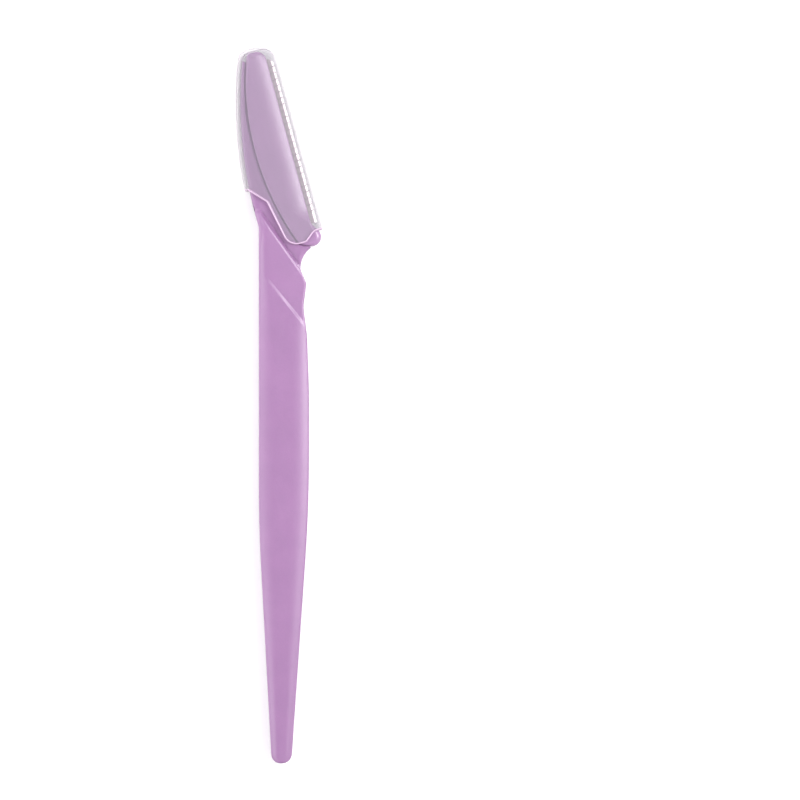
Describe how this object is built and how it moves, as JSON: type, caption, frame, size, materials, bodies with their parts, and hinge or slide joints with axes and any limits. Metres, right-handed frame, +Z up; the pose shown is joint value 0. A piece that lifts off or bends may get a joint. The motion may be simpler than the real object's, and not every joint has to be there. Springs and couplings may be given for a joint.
{
  "type": "eyebrow razor",
  "caption": "Slim eyebrow razor: tapered satin handle with a scooped neck and curved spine, crescent covers clamping a wire-guarded blade, and a clear push-on cap.",
  "frame": {"origin": "on the resting face, in the middle of the grip's width, near the middle of the razor's length", "axes": "+Y along the grip towards the capped tip, +Z up through the front face, +X towards the blade's side"},
  "size_m": [0.0184, 0.1501, 0.0046],
  "materials": {
    "handle_plastic": "satin moulded ABS, light purple, finely textured",
    "cover_plastic": "satin moulded ABS, the handle's purple a shade lighter",
    "blade_steel": "stainless strip with ground bevels",
    "guard_steel": "drawn stainless wire",
    "cap_plastic": "clear polypropylene, slightly frosted"
  },
  "bodies": {
    "razor": {"handle": "handle_plastic", "front_cover": "cover_plastic", "rear_cover": "cover_plastic", "blade": "blade_steel", "guard_wire": "guard_steel"},
    "cap": {"cap": "cap_plastic"}
  },
  "joints": [
    {"name": "cap_slide", "type": "slide", "parent": "razor", "child": "cap", "axis": [-0.2639, 0.9646, 0], "range_m": [0, 0.044]}
  ]
}
